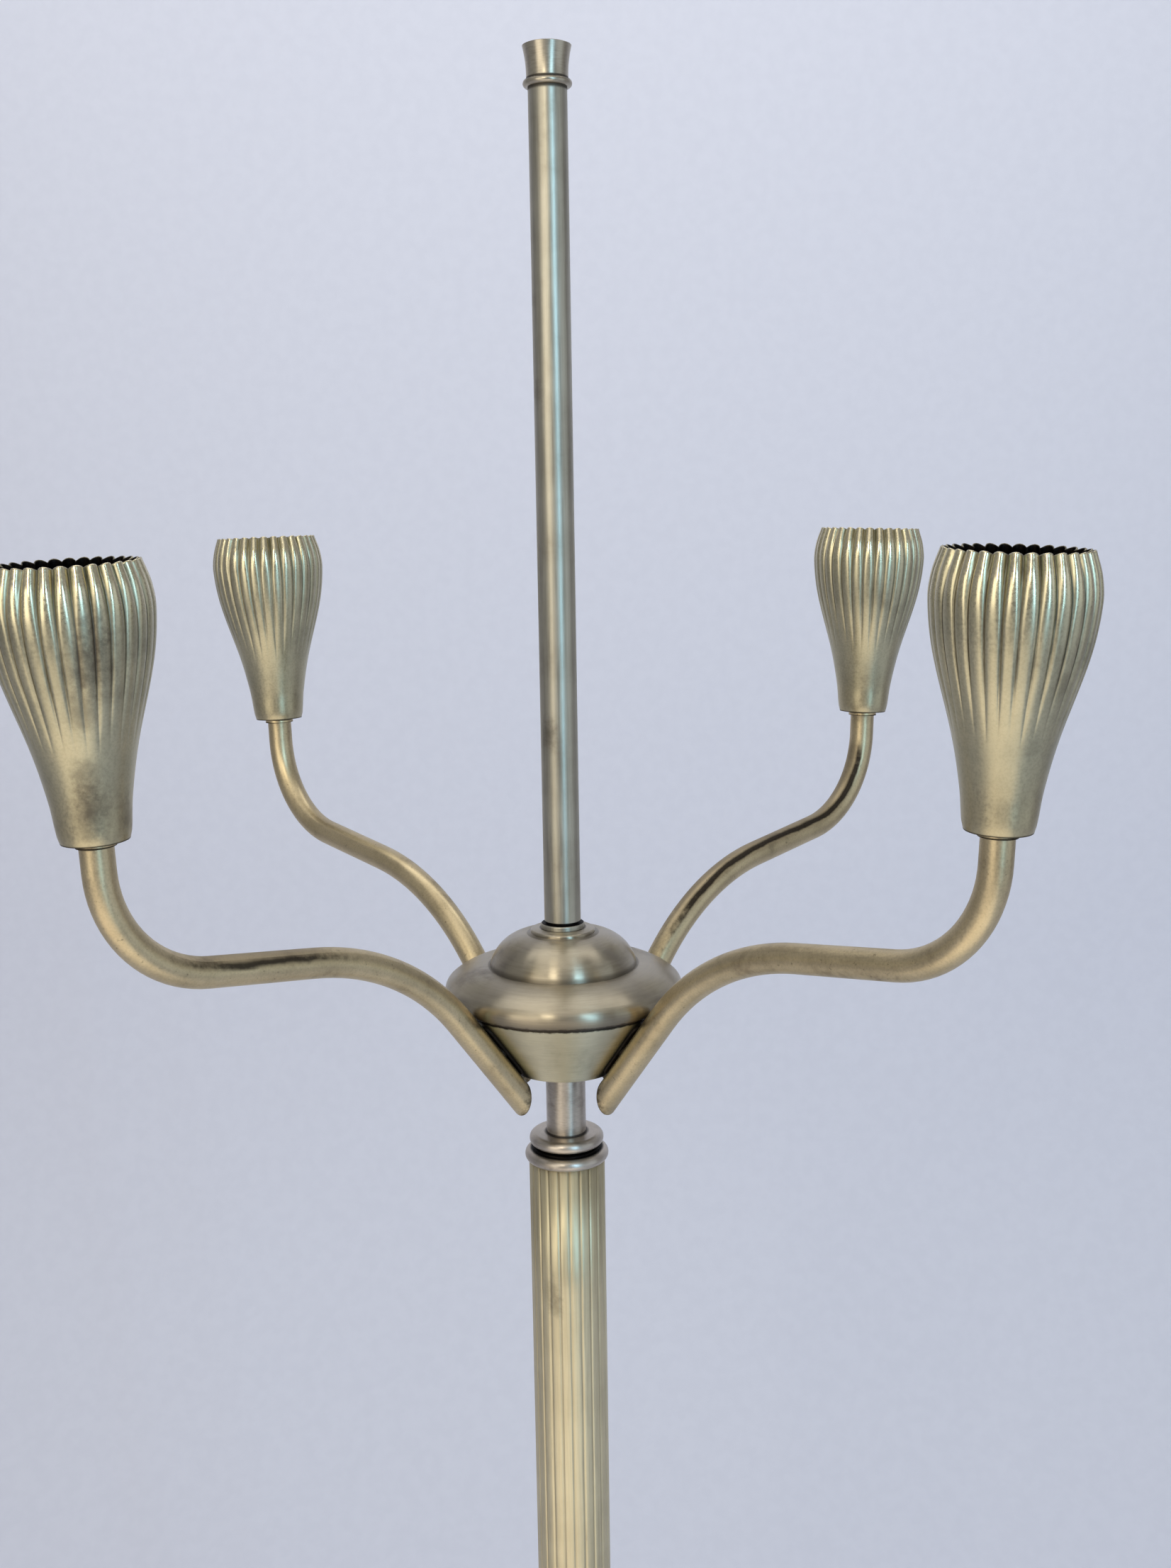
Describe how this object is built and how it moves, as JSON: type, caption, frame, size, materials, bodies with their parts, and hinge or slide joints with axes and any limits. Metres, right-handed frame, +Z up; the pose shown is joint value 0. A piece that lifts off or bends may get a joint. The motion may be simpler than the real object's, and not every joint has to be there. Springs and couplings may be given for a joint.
{
  "type": "floor lamp",
  "caption": "Tall brass floor lamp with a fluted column on a domed base, bent arms rising from a conical hub to fluted cups with lamp sockets, and a thin centre stem with a finial.",
  "frame": {"origin": "on the floor under the axis of the column, at the centre of the felt pad", "axes": "+Z up along the column, -Y towards the front where the foot switch is, +X to the right seen from the front; the arms stand on the diagonals"},
  "size_m": [0.2916, 0.2916, 1.52],
  "materials": {
    "felt": "napped felt",
    "iron": "rough cast",
    "base_brass": "satin, aged",
    "steel": "bright zinc",
    "rubber": "matt",
    "black_plastic": "satin",
    "nickel": "knurled",
    "column_brass": "satin, fluted",
    "ring_brass": "satin, turned",
    "cone_brass": "satin, spun",
    "dome_brass": "brushed round the axis",
    "terminal_plastic": "moulded",
    "stem_brass": "satin",
    "finial_brass": "satin, turned",
    "lead_plastic": "drawn sleeve",
    "arm_brass": "satin with dark tarnish",
    "cup_brass": "antiqued, dark in the grooves",
    "porcelain": "unglazed",
    "shell_brass": "drawn"
  },
  "bodies": {
    "stand": {"felt_pad": "felt", "base_weight": "iron", "base_cover": "base_brass", "base_collar": "base_brass", "base_ring": "base_brass", "base_washer": "steel", "base_nut": "steel", "tie_pipe": "steel", "hub_nut": "steel", "finial_stud": "steel", "arm_nipples": "steel", "arm_nuts": "steel", "socket_nipples": "steel", "socket_nuts": "steel", "switch_spring": "steel", "cord_bushing": "rubber", "switch_body": "black_plastic", "switch_cap": "black_plastic", "switch_nut": "nickel", "column_tube": "column_brass", "column_cap": "ring_brass", "column_ring": "ring_brass", "neck_tube": "ring_brass", "hub_cone": "cone_brass", "hub_canopy": "dome_brass", "hub_dome": "dome_brass", "terminal_block": "terminal_plastic", "stem_seat": "stem_brass", "stem_tube": "stem_brass", "stem_plug": "stem_brass", "main_lead": "lead_plastic", "arm_lead_rear_right": "lead_plastic", "arm_lead_rear_left": "lead_plastic", "arm_lead_front_left": "lead_plastic", "arm_lead_front_right": "lead_plastic", "arm_saddles": "arm_brass", "cup_seats": "arm_brass", "arm_rear_right": "arm_brass", "arm_rear_left": "arm_brass", "arm_front_left": "arm_brass", "arm_front_right": "arm_brass", "cup_rear_right": "cup_brass", "cup_rear_left": "cup_brass", "cup_front_left": "cup_brass", "cup_front_right": "cup_brass", "socket_body_rear_right": "porcelain", "socket_body_rear_left": "porcelain", "socket_body_front_left": "porcelain", "socket_body_front_right": "porcelain", "socket_shell_rear_right": "shell_brass", "socket_shell_rear_left": "shell_brass", "socket_shell_front_left": "shell_brass", "socket_shell_front_right": "shell_brass", "socket_contact_rear_right": "shell_brass", "socket_contact_rear_left": "shell_brass", "socket_contact_front_left": "shell_brass", "socket_contact_front_right": "shell_brass"},
    "finial_ring": {"finial_ring": "finial_brass"},
    "finial": {"finial": "finial_brass"},
    "switch_button": {"switch_button": "black_plastic"}
  },
  "joints": [
    {"name": "finial_turn", "type": "hinge", "parent": "stand", "child": "finial_ring", "pos_m": [0, 0, 1.5069], "axis": [0, 0, 1], "range_deg": [0, 2160]},
    {"name": "finial_lift", "type": "slide", "parent": "finial_ring", "child": "finial", "axis": [0, 0, 1], "range_m": [0, 0.00564]},
    {"name": "button_press", "type": "slide", "parent": "stand", "child": "switch_button", "axis": [0, 0, -1], "range_m": [0, 0.004], "stiffness_N_per_m": 800, "springref_m": -0.0015, "deforming": ["switch_spring"]}
  ],
  "couplings": [
    {"joint": "finial_turn", "follows": "finial_lift", "rad_per_m": 6679.1}
  ]
}
